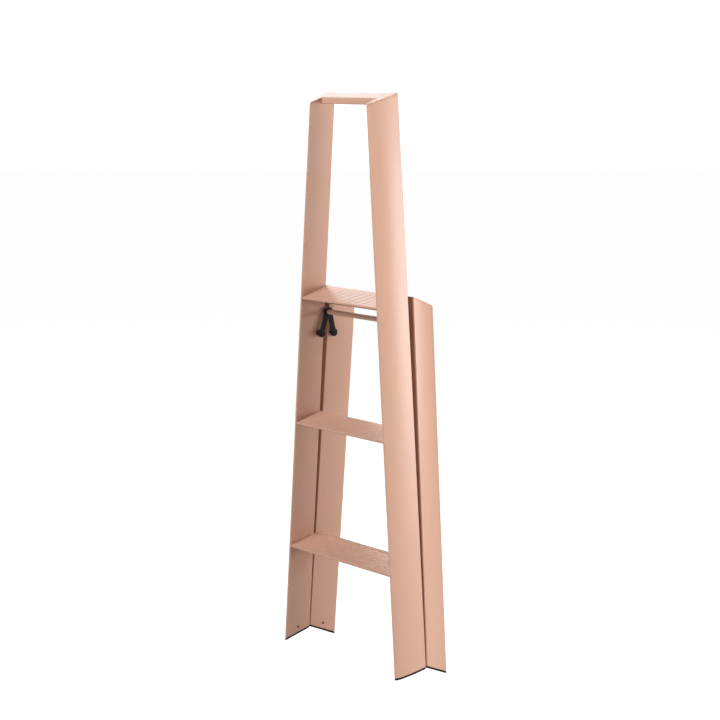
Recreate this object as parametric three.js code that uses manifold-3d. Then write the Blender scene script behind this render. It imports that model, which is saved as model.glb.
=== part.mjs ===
import * as THREE from 'three';
import { mergeVertices } from 'three/addons/utils/BufferGeometryUtils.js';
import Module from 'manifold-3d';

// Folding three-tread step ladder, folded and standing on its feet.
// Millimetres, +Z up, +X to the climber's right, +Y to the rear.
// Depths (y) run back from the front edge of the stiles, heights (z) up from the floor.
// The group is centred on its bounding box at the very end.

const degree = Math.PI / 180;

// Both frames narrow together from the floor to the top of the stiles
const clearWidthAtFloor = 515;
const clearWidthAtTop = 256;
const fitGap = 0.3; // between pieces that touch
const runningGap = 0.5; // between pieces that turn past each other
const overcut = 5; // how far a cutter runs past the surface it cuts

// Blades: the hollow aluminium sections of the stiles and the legs
const wall = 2;
const noseRadius = 3; // thin edge
const cornerBevel = 1.2; // corners of the thick edge
const outerBulge = 0.555; // outer face, from flat (0) to a full ellipse (1)
const bladeSegments = 10;

// Front stiles
const stileHeight = 1385; // floor to the top front corner
const stileDepth = 69.8;
const stileThickness = 36.6;
const footAngle = 21 * degree; // slope of the feet, the treads and the top

// Rear legs
const legRise = 13.2; // top front corner above the fold hinge
const legDepth = 77.3;
const legThickness = 40.9;
const legGapAtFloor = 1.2;
const legGapAtTop = 13.3;

// End pieces of the blades
const footThickness = 4.5;
const footSpigot = 42;
const capThickness = 4;
const capSpigot = 14;

// Treads
const treadHeights = { bottom: 252.7, middle: 574.7, top: 896.2 };
const treadOverhangs = { bottom: -0.8, middle: -1.8, top: 1.7 }; // past the rear of the stiles
const treadSetback = 1; // behind the front edge of the stiles
const treadPlate = 3;
const treadFrontLip = 6.5;
const treadRearLip = 5;
const treadLipWall = 3;
const ribCount = 10;
const ribHeight = 0.9;
const ribTop = 3.2; // width of the flat top of a rib

// Brackets under the tread ends
const bracketStart = 12; // behind the tread's front edge
const bracketLength = 24;
const bracketHeight = 10;
const bracketReach = 16;
const bracketThickness = 2.5;

// Top handle
const handleFront = 31;
const handleRearSetback = 1.5;
const handleHeight = 17;
const handleRadius = 5;
const handleWall = 2;
const handlePlug = 26;

// Fold hinge
const hingeDrop = 14.3; // below the rear edge of the top tread
const hingeInset = 0.77; // in front of the rear edge of the stile
const hingeEyeRadius = 7;
const hingePinRadius = 4;
const hingeHeadRadius = 6.5;
const hingeHeadThickness = 2.5;
const hingePlate = 3;
const hingeBoss = 5.5; // inner end of the front bracket's boss, from the stile
const hingeBracketClearance = 5.2; // behind the bracket of the tread
const hingeBracketDrop = 22; // below the pin
const hingeBracketFoot = 10; // width of its bottom edge
const hingeRivetEdge = 5; // behind the front edge of the bracket
const hingeRivetDrops = [8, 17]; // below the pin
const legPlate = 3.5;
const legPadSetback = 3; // behind the front edge of the leg
const legPadLength = 30;
const legPadHeight = 16;
const legPadDrop = 17; // below the pin
const legPadSlant = 3;

// Stays
const stayPivotDrop = 106; // below the fold hinge
const stilePivotInset = 15; // in front of the rear edge of the stile
const legPivotInset = 12.6; // behind the front edge of the leg
const stayLength = 57;
const stayClearance = 1; // from the stay to the leg at the apex
const rearLinkThickness = 4.5;
const frontLinkThickness = 5;
const linkEyeRadius = 10.5;
const linkArmWidth = 13.5;
const linkSplay = { front: -4, rear: 7 }; // of the arms' upper ends, from the apex
const linkArmRecess = 0.5;
const rearApexRadius = 8.5;
const pivotShankRadius = 4;
const pivotHeadRadius = 5.5;
const pivotHeadThickness = 2;
const pivotFlangeRadius = 8;
const pivotStudRadius = 2.5;
const socketRadius = 2.6;
const socketDepth = 1.3;

// Release rod and the hubs that hold it
const rodRadius = 6.4;
const rodWall = 1.5;
const hubWall = 6.1;
const hubLength = 7;
const rodInHub = 4.5;

// Braces between the legs
const braceDepth = 14;
const braceHeight = 28;
const braceWall = 2;
const braceRadius = 3;
const lowerBraceRise = 0.6; // above the rear edge of the bottom tread
const upperBraceRise = 11; // above the pads of the hinge plates
const braceBlock = 20;
const braceSetback = 3; // behind the front edge of the legs

// Small fasteners
const rivetRadius = 2;
const rivetHeadRadius = 3.4;
const rivetHeadHeight = 1.4;
const footScrewRadius = 2;
const footScrewHeadRadius = 3;
const footScrewHeadHeight = 1.5;
const footScrewRise = 15; // above the foot, at the middle of the blade
const fastenerLength = 6;
const holeLength = 30; // half of it on each side of the inner face
const headChamfer = 0.7;

// Facets round a turned piece, and round a small fastener
const roundSegments = 26;
const smallSegments = 12;

const wasm = await Module();
wasm.setup();

const paint = new THREE.MeshStandardMaterial({ color: 0xd8ab94, roughness: 0.48, metalness: 0.15 });
const blackPlastic = new THREE.MeshStandardMaterial({ color: 0x17171a, roughness: 0.42, metalness: 0 });
const rubber = new THREE.MeshStandardMaterial({ color: 0x141414, roughness: 0.85, metalness: 0 });
const steel = new THREE.MeshStandardMaterial({ color: 0xb4b0aa, roughness: 0.35, metalness: 0.9 });
const darkSteel = new THREE.MeshStandardMaterial({ color: 0x3a3532, roughness: 0.45, metalness: 0.8 });

const ladder = new THREE.Group();

// ---- Lines that both frames follow ----

const taper = (clearWidthAtFloor - clearWidthAtTop) / 2 / stileHeight;
const taperAngle = Math.atan(taper);

// Distance from the centre to the inner faces at a height
function innerFace(z) {
  return clearWidthAtFloor / 2 - z * taper;
}

// Height of a tread's rear edge, and of its underside at a depth
function treadRear(level) {
  return treadHeights[level] + (stileDepth + treadOverhangs[level] - treadSetback) * Math.tan(footAngle);
}

function underTread(level, y) {
  return treadHeights[level] + (y - treadSetback) * Math.tan(footAngle)
    - (treadPlate + ribHeight) / Math.cos(footAngle) - 2 * runningGap;
}

const hingeHeight = treadRear('top') - hingeDrop;
const legHeight = hingeHeight + legRise;
const stayPivotHeight = hingeHeight - stayPivotDrop;
const lowerBraceTop = treadRear('bottom') + lowerBraceRise;

// The legs lean back a little: depth of their front edge at a height
const legLean = (legGapAtTop - legGapAtFloor) / legHeight;

function legFront(z) {
  return stileDepth + legGapAtFloor + legLean * z;
}

// Fall of a leg's cut ends along its depth, for a slope of its feet
function fallAt(angle) {
  return Math.tan(angle) / (1 + legLean * Math.tan(angle));
}

// Once the ladder is open, how much lower the rear feet are than the front feet
const hingeDepth = stileDepth - hingeInset;
const stileReach = hingeHeight * Math.cos(footAngle) - hingeDepth * Math.sin(footAngle);

function openFootGap(angle) {
  const heel = legDepth * fallAt(angle);
  return (hingeHeight - heel) * Math.cos(angle) - (legFront(heel) - hingeDepth) * Math.sin(angle) - stileReach;
}

// The slope of the rear feet that sets all the feet on one floor
function levelFootAngle() {
  let [low, high] = [0, 60 * degree];
  while (high - low > 1e-9) {
    const middle = (low + high) / 2;
    if (openFootGap(middle) > 0) low = middle;
    else high = middle;
  }
  return low;
}
const legFall = fallAt(levelFootAngle());
const legFootHeight = legDepth * legFall;

// ---- Solids ----

// Position-only triangles, with their faces turned outwards
function bare(geometry) {
  const loose = geometry.index ? geometry.toNonIndexed() : geometry;
  const plain = new THREE.BufferGeometry();
  plain.setAttribute('position', loose.getAttribute('position').clone());
  return facingOut(plain);
}

function facingOut(geometry) {
  const { array } = geometry.getAttribute('position');
  const [a, b, c] = [new THREE.Vector3(), new THREE.Vector3(), new THREE.Vector3()];
  let volume = 0;
  for (let i = 0; i < array.length; i += 9) {
    a.fromArray(array, i);
    b.fromArray(array, i + 3);
    c.fromArray(array, i + 6);
    volume += a.dot(b.cross(c));
  }
  if (volume > 0) return geometry;
  for (let i = 0; i < array.length; i += 9) {
    b.fromArray(array, i + 3);
    c.fromArray(array, i + 6);
    c.toArray(array, i + 3);
    b.toArray(array, i + 6);
  }
  return geometry;
}

// A geometry with every point moved by a function
function bent(geometry, move) {
  const solid = bare(geometry);
  const position = solid.getAttribute('position');
  const point = new THREE.Vector3();
  for (let i = 0; i < position.count; i++) {
    point.fromBufferAttribute(position, i);
    move(point);
    position.setXYZ(i, point.x, point.y, point.z);
  }
  return facingOut(solid);
}

function manifoldOf(geometry) {
  const merged = mergeVertices(bare(geometry), 1e-4);
  return new wasm.Manifold(new wasm.Mesh({
    numProp: 3,
    vertProperties: merged.getAttribute('position').array,
    triVerts: new Uint32Array(merged.index.array),
  }));
}

function geometryOf(manifold) {
  const { vertProperties, triVerts } = manifold.getMesh();
  const geometry = new THREE.BufferGeometry();
  geometry.setAttribute('position', new THREE.BufferAttribute(vertProperties, 3));
  geometry.setIndex(new THREE.BufferAttribute(triVerts, 1));
  return bare(geometry);
}

function joined(...pieces) {
  return geometryOf(pieces.map(manifoldOf).reduce((whole, piece) => whole.add(piece)));
}

function cut(body, ...tools) {
  return geometryOf(tools.map(manifoldOf).reduce((rest, tool) => rest.subtract(tool), manifoldOf(body)));
}

// An outline drawn in two directions, pushed along the third
function prism(outline, length, curveSegments = 8) {
  return new THREE.ExtrudeGeometry(outline, { depth: length, bevelEnabled: false, curveSegments });
}

// A round bar along X from one x to another, about a point of the side view
function bar(radius, fromX, toX, y, z, segments = roundSegments) {
  const cylinder = new THREE.CylinderGeometry(radius, radius, Math.abs(toX - fromX), segments);
  return cylinder.rotateZ(90 * degree).translate((fromX + toX) / 2, y, z);
}

// A turned piece along X: pairs of radius and x, starting and ending on the axis
function turned(profile, y, z, segments = roundSegments) {
  const points = profile.map(([radius, x]) => new THREE.Vector2(radius, x));
  return new THREE.LatheGeometry(points, segments).rotateZ(-90 * degree).translate(0, y, z);
}

// A solid drawn in the side view, between the inner face of the right-hand blade and a plane
function betweenFaceAndPlane(outline, planeX, curveSegments) {
  return bent(prism(outline, 1, curveSegments), (point) => {
    const [y, z, share] = [point.x, point.y, point.z];
    const faceX = innerFace(z) - fitGap;
    point.set(faceX + (planeX - faceX) * share, y, z);
  });
}

function roundedBox(x0, y0, x1, y1, radius) {
  const outline = new THREE.Shape();
  outline.absarc(x1 - radius, y1 - radius, radius, 0, 90 * degree);
  outline.absarc(x0 + radius, y1 - radius, radius, 90 * degree, 180 * degree);
  outline.absarc(x0 + radius, y0 + radius, radius, 180 * degree, 270 * degree);
  outline.absarc(x1 - radius, y0 + radius, radius, 270 * degree, 360 * degree);
  return outline;
}

// ---- Nodes ----

function add(name, geometry, material) {
  const solid = bare(geometry);
  solid.computeVertexNormals();
  const mesh = new THREE.Mesh(solid, material);
  mesh.name = name;
  ladder.add(mesh);
}

// A piece of the right side and its mirror image on the left
function addPair(name, geometry, material) {
  add(`right_${name}`, geometry, material);
  add(`left_${name}`, bent(geometry, (point) => point.setX(-point.x)), material);
}

// ---- Blades ----

// Cross-section of a blade: x outwards from its flat inner face, y from its thick edge to its nose
function bladeOutline(depth, thickness, inset) {
  const [low, high] = [inset, thickness - inset];
  const nose = low + Math.max(noseRadius - inset, fitGap);
  const bevel = low + cornerBevel;
  const tip = depth - inset;
  const outline = new THREE.Shape();
  outline.moveTo(bevel, low);
  outline.lineTo(high - cornerBevel, low);
  for (let step = 0; step <= 2 * bladeSegments; step++) {
    const angle = (90 * degree * step) / (2 * bladeSegments);
    const flat = high + (nose - high) * Math.sin(angle);
    const full = nose + (high - nose) * Math.cos(angle);
    outline.lineTo(flat + outerBulge * (full - flat), bevel + (tip - bevel) * Math.sin(angle));
  }
  outline.quadraticCurveTo(low, tip, low, tip - nose + low);
  outline.lineTo(low, bevel);
  return outline;
}

// Points of the right-hand stile: x outwards, y from the thick rear edge forwards, z up the front edge
function onStile(point) {
  const y = stileDepth - point.y;
  const z = point.z + y * Math.tan(footAngle);
  point.set(innerFace(z) + point.x, y, z);
}

// Points of the right-hand leg: x outwards, y back from the thick front edge, z up the front edge
function onLeg(point) {
  const z = point.z - point.y * legFall;
  point.set(innerFace(z) + point.x, legFront(z) + point.y, z);
}

function bladeStretch({ depth, thickness, place }, inset, low, high) {
  const stretch = prism(bladeOutline(depth, thickness, inset), high - low, bladeSegments).translate(0, 0, low);
  return bent(stretch, place);
}

function bladeTube({ depth, thickness, place }, low, high) {
  const outline = bladeOutline(depth, thickness, 0);
  outline.holes.push(bladeOutline(depth, thickness, wall));
  return bent(prism(outline, high - low, bladeSegments).translate(0, 0, low), place);
}

const stile = {
  depth: stileDepth, thickness: stileThickness, place: onStile, floor: 0, top: stileHeight,
};
const leg = {
  depth: legDepth, thickness: legThickness, place: onLeg, floor: legFootHeight, top: legHeight,
};

function blade(piece, ...holes) {
  const low = piece.floor + footThickness + fitGap;
  const high = piece.top - capThickness - fitGap;
  return cut(bladeTube(piece, low, high), ...holes);
}

function bladeCap(piece) {
  const seat = piece.top - capThickness;
  const plate = bladeStretch(piece, 0, seat, piece.top);
  const spigot = bladeStretch(piece, wall + fitGap, seat - capSpigot, seat + capThickness / 2);
  return joined(plate, spigot);
}

function bladeFoot(piece, screwHole) {
  const seat = piece.floor + footThickness;
  const pad = bladeStretch(piece, 0, piece.floor, seat);
  const spigot = bladeStretch(piece, wall + fitGap, seat - footThickness / 2, seat + footSpigot);
  return cut(joined(pad, spigot), screwHole);
}

// ---- Fasteners square to the leaning inner faces ----

// Turns a piece made along +Y so that it points inwards from the right-hand inner face
function onFace(geometry, y, z) {
  return geometry.rotateZ(90 * degree).rotateY(-taperAngle).translate(innerFace(z), y, z);
}

function faceHole(radius, y, z) {
  const cutter = new THREE.CylinderGeometry(radius + fitGap, radius + fitGap, holeLength, smallSegments);
  return onFace(cutter, y, z);
}

// A domed head on a shank that runs into the blade, its head seated a distance off the face
function faceFastener(radius, headRadius, headHeight, seat, y, z) {
  const dome = [0, 45, 90].map((angle) => new THREE.Vector2(
    headRadius * Math.cos(angle * degree), seat + headHeight * Math.sin(angle * degree)));
  const profile = [
    new THREE.Vector2(0, seat - fastenerLength),
    new THREE.Vector2(radius, seat - fastenerLength),
    new THREE.Vector2(radius, seat),
    ...dome.slice(0, -1),
    new THREE.Vector2(0, seat + headHeight),
  ];
  return onFace(new THREE.LatheGeometry(profile, smallSegments), y, z);
}

// Where the foot screws sit, at the middle of each blade's depth
function footScrewPlace(piece) {
  const point = new THREE.Vector3(0, piece.depth / 2, piece.floor + footThickness + footScrewRise);
  piece.place(point);
  return [point.y, point.z];
}

// ---- Treads ----

// A tread's own directions: u back along its slope, v square to its surface
function onTread(level, u, v) {
  return [
    treadSetback + u * Math.cos(footAngle) - v * Math.sin(footAngle),
    treadHeights[level] + u * Math.sin(footAngle) + v * Math.cos(footAngle),
  ];
}

function treadLength(level) {
  return (stileDepth + treadOverhangs[level] - treadSetback) / Math.cos(footAngle);
}

// Ribbed plate with a rounded front lip and a square rear lip
function treadOutline(length) {
  const lipRadius = treadFrontLip / 2;
  const ribPitch = (length - treadFrontLip) / ribCount;
  const groove = (ribPitch - ribTop) / 2;
  const outline = new THREE.Shape();
  outline.moveTo(length, 0);
  for (let rib = ribCount - 1; rib >= 0; rib--) {
    const start = treadFrontLip + rib * ribPitch;
    outline.lineTo(start + ribPitch - groove / 2, 0);
    outline.lineTo(start + ribPitch - groove, -ribHeight);
    outline.lineTo(start + groove, -ribHeight);
    outline.lineTo(start + groove / 2, 0);
  }
  outline.absarc(lipRadius, -lipRadius, lipRadius, 90 * degree, 270 * degree);
  outline.lineTo(treadLipWall + lipRadius, -treadFrontLip);
  outline.lineTo(treadLipWall + lipRadius, -treadPlate - ribHeight);
  outline.lineTo(length - treadLipWall, -treadPlate - ribHeight);
  outline.lineTo(length - treadLipWall, -treadRearLip - ribHeight);
  outline.lineTo(length, -treadRearLip - ribHeight);
  return outline;
}

function tread(level) {
  return bent(prism(treadOutline(treadLength(level)), 2).translate(0, 0, -1), (point) => {
    const [y, z] = onTread(level, point.x, point.y);
    point.set(point.z * (innerFace(z) - fitGap), y, z);
  });
}

// Angle bracket in the corner between the tread's underside and the stile
const bracketTop = -treadPlate - ribHeight - fitGap;

function bracketRivetPlace(level) {
  return onTread(level, bracketStart + bracketLength / 2, bracketTop - bracketHeight / 2 - bracketThickness / 2);
}

function treadBracket(level) {
  const angle = new THREE.Shape();
  angle.moveTo(fitGap, 0);
  angle.lineTo(fitGap, -bracketHeight);
  angle.lineTo(fitGap + bracketThickness, -bracketHeight);
  angle.lineTo(fitGap + bracketThickness, -bracketThickness);
  angle.lineTo(bracketReach, -bracketThickness);
  angle.lineTo(bracketReach, 0);
  const solid = bent(prism(angle, bracketLength), (point) => {
    const [y, z] = onTread(level, bracketStart + point.z, bracketTop + point.y);
    point.set(innerFace(z) - point.x, y, z);
  });
  return cut(solid, faceHole(rivetRadius, ...bracketRivetPlace(level)));
}

function bracketRivet(level) {
  const seat = fitGap + bracketThickness + fitGap;
  return faceFastener(rivetRadius, rivetHeadRadius, rivetHeadHeight, seat, ...bracketRivetPlace(level));
}

// ---- Top handle ----

// Drawn in depth and in height below the sloping top of the stiles
function handleOutline(inset) {
  const radius = handleRadius - inset;
  return roundedBox(handleFront + inset, inset - handleHeight, stileDepth - handleRearSetback - inset, -inset, radius);
}

function onHandle(point, reach) {
  const z = stileHeight + point.x * Math.tan(footAngle) + point.y;
  point.set(reach(innerFace(z) - fitGap, point.z), point.x, z);
}

function topHandle() {
  const outline = handleOutline(0);
  outline.holes.push(handleOutline(handleWall));
  const tube = prism(outline, 2, 5).translate(0, 0, -1);
  return bent(tube, (point) => onHandle(point, (face, share) => face * share));
}

function handlePlugSolid() {
  const plug = prism(handleOutline(handleWall + fitGap), handlePlug, 5);
  return bent(plug, (point) => onHandle(point, (face, length) => face - length));
}

// ---- Fold hinge ----

// Inner planes of the hinge's stack, from the stile inwards
const hingeFace = innerFace(hingeHeight);
const hingeBossX = hingeFace - hingeBoss;
const legPlateOuterX = hingeBossX - runningGap;
const legPlateInnerX = legPlateOuterX - legPlate;

const hingeBracketFront = onTread('top', bracketStart + bracketLength, bracketTop - bracketHeight)[0]
  + hingeBracketClearance;
const hingeRivets = hingeRivetDrops.map((drop) => [hingeBracketFront + hingeRivetEdge, hingeHeight - drop]);

function hingeBracketOutline() {
  const outline = new THREE.Shape();
  const front = hingeBracketFront;
  outline.absarc(hingeDepth, hingeHeight, hingeEyeRadius, -60 * degree, 90 * degree);
  outline.lineTo(front, underTread('top', front));
  outline.lineTo(front, hingeHeight - hingeBracketDrop);
  outline.lineTo(front + hingeBracketFoot, hingeHeight - hingeBracketDrop);
  return outline;
}

function hingeBracket() {
  const plate = bent(prism(hingeBracketOutline(), hingePlate, 12), (point) => {
    point.set(innerFace(point.y) - fitGap - point.z, point.x, point.y);
  });
  const boss = bar(hingeEyeRadius, hingeFace - hingePlate / 2 - fitGap, hingeBossX, hingeDepth, hingeHeight);
  const bore = bar(hingePinRadius + fitGap, hingeFace + overcut, hingeBossX - overcut, hingeDepth, hingeHeight);
  const holes = hingeRivets.map(([y, z]) => faceHole(rivetRadius, y, z));
  return cut(joined(plate, boss), bore, ...holes);
}

function hingeRivet([y, z]) {
  const seat = fitGap + hingePlate + fitGap;
  return faceFastener(rivetRadius, rivetHeadRadius, rivetHeadHeight, seat, y, z);
}

function hingePin() {
  const headX = legPlateInnerX - runningGap;
  const endX = hingeFace - hingePlate / 2;
  return turned([
    [0, endX],
    [hingePinRadius, endX],
    [hingePinRadius, headX],
    [hingeHeadRadius, headX],
    [hingeHeadRadius, headX - hingeHeadThickness + headChamfer],
    [hingeHeadRadius - headChamfer, headX - hingeHeadThickness],
    [0, headX - hingeHeadThickness],
  ], hingeDepth, hingeHeight);
}

// Plate on the leg that reaches forward to the hinge pin
const padTop = hingeHeight - legPadDrop;
const padBottom = padTop - legPadHeight;
const padFront = legFront((padTop + padBottom) / 2) + legPadSetback;
const padRear = padFront + legPadLength;
const legPlateRivet = [padFront + legPadLength * 2 / 3, (padTop + padBottom) / 2];

function legPlateOutline() {
  const outline = new THREE.Shape();
  outline.absarc(hingeDepth, hingeHeight, hingeEyeRadius, 64 * degree, 238 * degree);
  outline.lineTo(padFront, padBottom);
  outline.lineTo(padRear, padBottom);
  outline.lineTo(padRear, padTop - legPadSlant);
  return outline;
}

function legHingePlate() {
  const outer = prism(legPlateOutline(), legPlate, 12);
  const plate = bent(outer, (point) => point.set(legPlateOuterX - point.z, point.x, point.y));
  const padOutline = new THREE.Shape();
  padOutline.moveTo(padFront, padBottom);
  padOutline.lineTo(padRear, padBottom);
  padOutline.lineTo(padRear, padTop - legPadSlant);
  padOutline.lineTo(padFront, padTop + legPadSlant);
  const pad = betweenFaceAndPlane(padOutline, legPlateOuterX - legPlate / 2);
  const bore = bar(hingePinRadius + runningGap, hingeBossX, legPlateInnerX - overcut, hingeDepth, hingeHeight);
  return cut(joined(plate, pad), bore, faceHole(rivetRadius, ...legPlateRivet));
}

function legPlateRivetSolid() {
  const [y, z] = legPlateRivet;
  const seat = innerFace(z) - legPlateInnerX + fitGap + 2 * taper * rivetHeadRadius;
  return onFace(new THREE.LatheGeometry([
    new THREE.Vector2(0, -fastenerLength),
    new THREE.Vector2(rivetRadius, -fastenerLength),
    new THREE.Vector2(rivetRadius, seat),
    new THREE.Vector2(rivetHeadRadius, seat),
    new THREE.Vector2(rivetHeadRadius * 0.7, seat + rivetHeadHeight * 0.8),
    new THREE.Vector2(0, seat + rivetHeadHeight),
  ], smallSegments), y, z);
}

// ---- Stays ----

const stilePivot = new THREE.Vector2(stileDepth - stilePivotInset, stayPivotHeight);
const legPivot = new THREE.Vector2(legFront(stayPivotHeight) + legPivotInset, stayPivotHeight);

// Folded, the two links of a stay lean together above their pivots
const pivotsApart = legPivot.x - stilePivot.x;
const apex = new THREE.Vector2(
  (stilePivot.x + legPivot.x) / 2,
  stayPivotHeight + Math.sqrt(stayLength ** 2 - (pivotsApart / 2) ** 2),
);

// The rear link clears the leg at its apex end; the front link runs inside it
const rearLinkOuterX = innerFace(apex.y + rearApexRadius) - stayClearance;
const rearLinkInnerX = rearLinkOuterX - rearLinkThickness;
const frontLinkOuterX = rearLinkInnerX - runningGap;
const frontLinkInnerX = frontLinkOuterX - frontLinkThickness;
const hubRadius = rodRadius + hubWall;
const hubInnerX = frontLinkOuterX - hubLength;

// A straight arm from a pivot to beside the apex, rounded at its upper end
function arm(from, splay, fromX, toX) {
  const to = new THREE.Vector2(apex.x + splay, apex.y);
  const along = new THREE.Vector2().subVectors(to, from);
  const box = new THREE.BoxGeometry(Math.abs(toX - fromX), along.length(), linkArmWidth);
  box.rotateX(along.angle());
  box.translate((fromX + toX) / 2, (from.x + to.x) / 2, (from.y + to.y) / 2);
  return joined(box, bar(linkArmWidth / 2, fromX, toX, to.x, to.y));
}

function linkBore(outerX, innerX, place) {
  return bar(pivotShankRadius + fitGap, outerX + overcut, innerX - overcut, place.x, place.y);
}

function stayFrontLink() {
  const eye = bar(linkEyeRadius, frontLinkOuterX, frontLinkInnerX, stilePivot.x, stilePivot.y);
  const rail = arm(stilePivot, linkSplay.front, frontLinkOuterX - linkArmRecess, frontLinkInnerX + linkArmRecess);
  const hub = bar(hubRadius, frontLinkOuterX, hubInnerX, apex.x, apex.y);
  const bore = linkBore(frontLinkOuterX, frontLinkInnerX, stilePivot);
  const socket = bar(rodRadius + fitGap, hubInnerX + rodInHub, hubInnerX - overcut, apex.x, apex.y);
  return cut(joined(eye, rail, hub), bore, socket);
}

function stayRearLink() {
  const eye = bar(linkEyeRadius, rearLinkOuterX, rearLinkInnerX, legPivot.x, legPivot.y);
  const rail = arm(legPivot, linkSplay.rear, rearLinkOuterX - linkArmRecess, rearLinkInnerX + linkArmRecess);
  const tip = bar(rearApexRadius, rearLinkOuterX, rearLinkInnerX, apex.x, apex.y);
  const bore = linkBore(rearLinkOuterX, rearLinkInnerX, legPivot);
  return cut(joined(eye, rail, tip), bore);
}

// Shoulder screw that a link turns on, its flange seated on the leaning face of the blade
function stayPivot(place, linkOuterX, linkInnerX) {
  const faceX = innerFace(place.y);
  const flangeX = linkOuterX + runningGap;
  const headX = linkInnerX - runningGap;
  const tipX = headX - pivotHeadThickness;
  const body = bent(turned([
    [0, faceX + overcut],
    [pivotFlangeRadius, faceX + overcut],
    [pivotFlangeRadius, flangeX],
    [pivotShankRadius, flangeX],
    [pivotShankRadius, headX],
    [pivotHeadRadius, headX],
    [pivotHeadRadius, tipX + headChamfer],
    [pivotHeadRadius - headChamfer, tipX],
    [0, tipX],
  ], place.x, place.y), (point) => point.setX(Math.min(point.x, innerFace(point.z) - fitGap)));
  const stud = bar(pivotStudRadius, faceX + fastenerLength, flangeX, place.x, place.y, smallSegments);
  const socket = bar(socketRadius, tipX + socketDepth, tipX - overcut, place.x, place.y, 6);
  return cut(joined(body, stud), socket);
}

function stayPivotHole(place) {
  const faceX = innerFace(place.y);
  const reach = 2 * overcut;
  return bar(pivotStudRadius + fitGap, faceX + reach, faceX - reach, place.x, place.y, smallSegments);
}

// Tube from hub to hub that releases both stays
function releaseRod() {
  const end = hubInnerX + rodInHub - fitGap;
  const bore = rodRadius - rodWall;
  const ring = [[bore, end], [bore, -end], [rodRadius, -end], [rodRadius, end], [bore, end]];
  return turned(ring, apex.x, apex.y);
}

// ---- Braces ----

function braceOutline(front, top, inset) {
  return roundedBox(front + inset, top - braceHeight + inset, front + braceDepth - inset, top - inset,
    braceRadius - inset);
}

// A rectangular tube across the ladder, its ends cut by a function of height
function brace(front, top, endAt) {
  const outline = braceOutline(front, top, 0);
  outline.holes.push(braceOutline(front, top, braceWall));
  return bent(prism(outline, 2, 4).translate(0, 0, -1), (point) => {
    point.set(point.z * endAt(point.y), point.x, point.y);
  });
}

const lowerBraceFront = legFront(lowerBraceTop) + braceSetback;
const braceScrewPlace = [lowerBraceFront + braceDepth / 2, lowerBraceTop - braceHeight / 2];

// Nut bar inside the end of the lower brace, drawn on the leg with a stud through its wall
function braceStud() {
  const [y, z] = braceScrewPlace;
  const bore = braceOutline(lowerBraceFront, lowerBraceTop, braceWall + fitGap);
  const block = bent(prism(bore, braceBlock, 4), (point) => {
    point.set(innerFace(point.y) - fitGap - point.z, point.x, point.y);
  });
  const shank = new THREE.CylinderGeometry(pivotStudRadius, pivotStudRadius, 2 * fastenerLength, smallSegments);
  const stud = onFace(shank, y, z);
  return joined(block, stud);
}

// ---- Assembly ----

const stileFootScrew = footScrewPlace(stile);
const legFootScrew = footScrewPlace(leg);
const levels = Object.keys(treadHeights);

addPair('front_stile', blade(
  stile,
  faceHole(footScrewRadius, ...stileFootScrew),
  stayPivotHole(stilePivot),
  ...levels.map((level) => faceHole(rivetRadius, ...bracketRivetPlace(level))),
  ...hingeRivets.map(([y, z]) => faceHole(rivetRadius, y, z)),
), paint);
addPair('stile_cap', bladeCap(stile), paint);
addPair('front_foot', bladeFoot(stile, faceHole(footScrewRadius, ...stileFootScrew)), rubber);
addPair('front_foot_screw', faceFastener(
  footScrewRadius, footScrewHeadRadius, footScrewHeadHeight, fitGap, ...stileFootScrew), darkSteel);

add('top_handle', topHandle(), paint);
addPair('handle_plug', handlePlugSolid(), steel);

for (const level of levels) {
  add(`${level}_tread`, tread(level), paint);
  addPair(`${level}_tread_bracket`, treadBracket(level), steel);
  addPair(`${level}_tread_rivet`, bracketRivet(level), steel);
}

addPair('hinge_bracket', hingeBracket(), darkSteel);
addPair('hinge_rivet_upper', hingeRivet(hingeRivets[0]), steel);
addPair('hinge_rivet_lower', hingeRivet(hingeRivets[1]), steel);
addPair('hinge_pin', hingePin(), steel);

addPair('rear_leg', blade(
  leg,
  faceHole(footScrewRadius, ...legFootScrew),
  stayPivotHole(legPivot),
  faceHole(rivetRadius, ...legPlateRivet),
  faceHole(pivotStudRadius, ...braceScrewPlace),
), paint);
addPair('leg_cap', bladeCap(leg), paint);
addPair('rear_foot', bladeFoot(leg, faceHole(footScrewRadius, ...legFootScrew)), rubber);
addPair('rear_foot_screw', faceFastener(
  footScrewRadius, footScrewHeadRadius, footScrewHeadHeight, fitGap, ...legFootScrew), darkSteel);
addPair('leg_hinge_plate', legHingePlate(), darkSteel);
addPair('leg_plate_rivet', legPlateRivetSolid(), steel);
add('lower_rear_brace', brace(lowerBraceFront, lowerBraceTop, (z) => innerFace(z) - fitGap), paint);
addPair('brace_stud', braceStud(), steel);
add('upper_rear_brace', brace(padFront, padTop + upperBraceRise, () => legPlateInnerX - fitGap - rivetHeadHeight), paint);

addPair('stay_front_link', stayFrontLink(), blackPlastic);
addPair('stay_front_pivot', stayPivot(stilePivot, frontLinkOuterX, frontLinkInnerX), blackPlastic);
addPair('stay_rear_link', stayRearLink(), blackPlastic);
addPair('stay_rear_pivot', stayPivot(legPivot, rearLinkOuterX, rearLinkInnerX), blackPlastic);
add('release_rod', releaseRod(), paint);

const centre = new THREE.Box3().setFromObject(ladder).getCenter(new THREE.Vector3());
ladder.position.y = -centre.y;

export default ladder;
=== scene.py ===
import math

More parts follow.
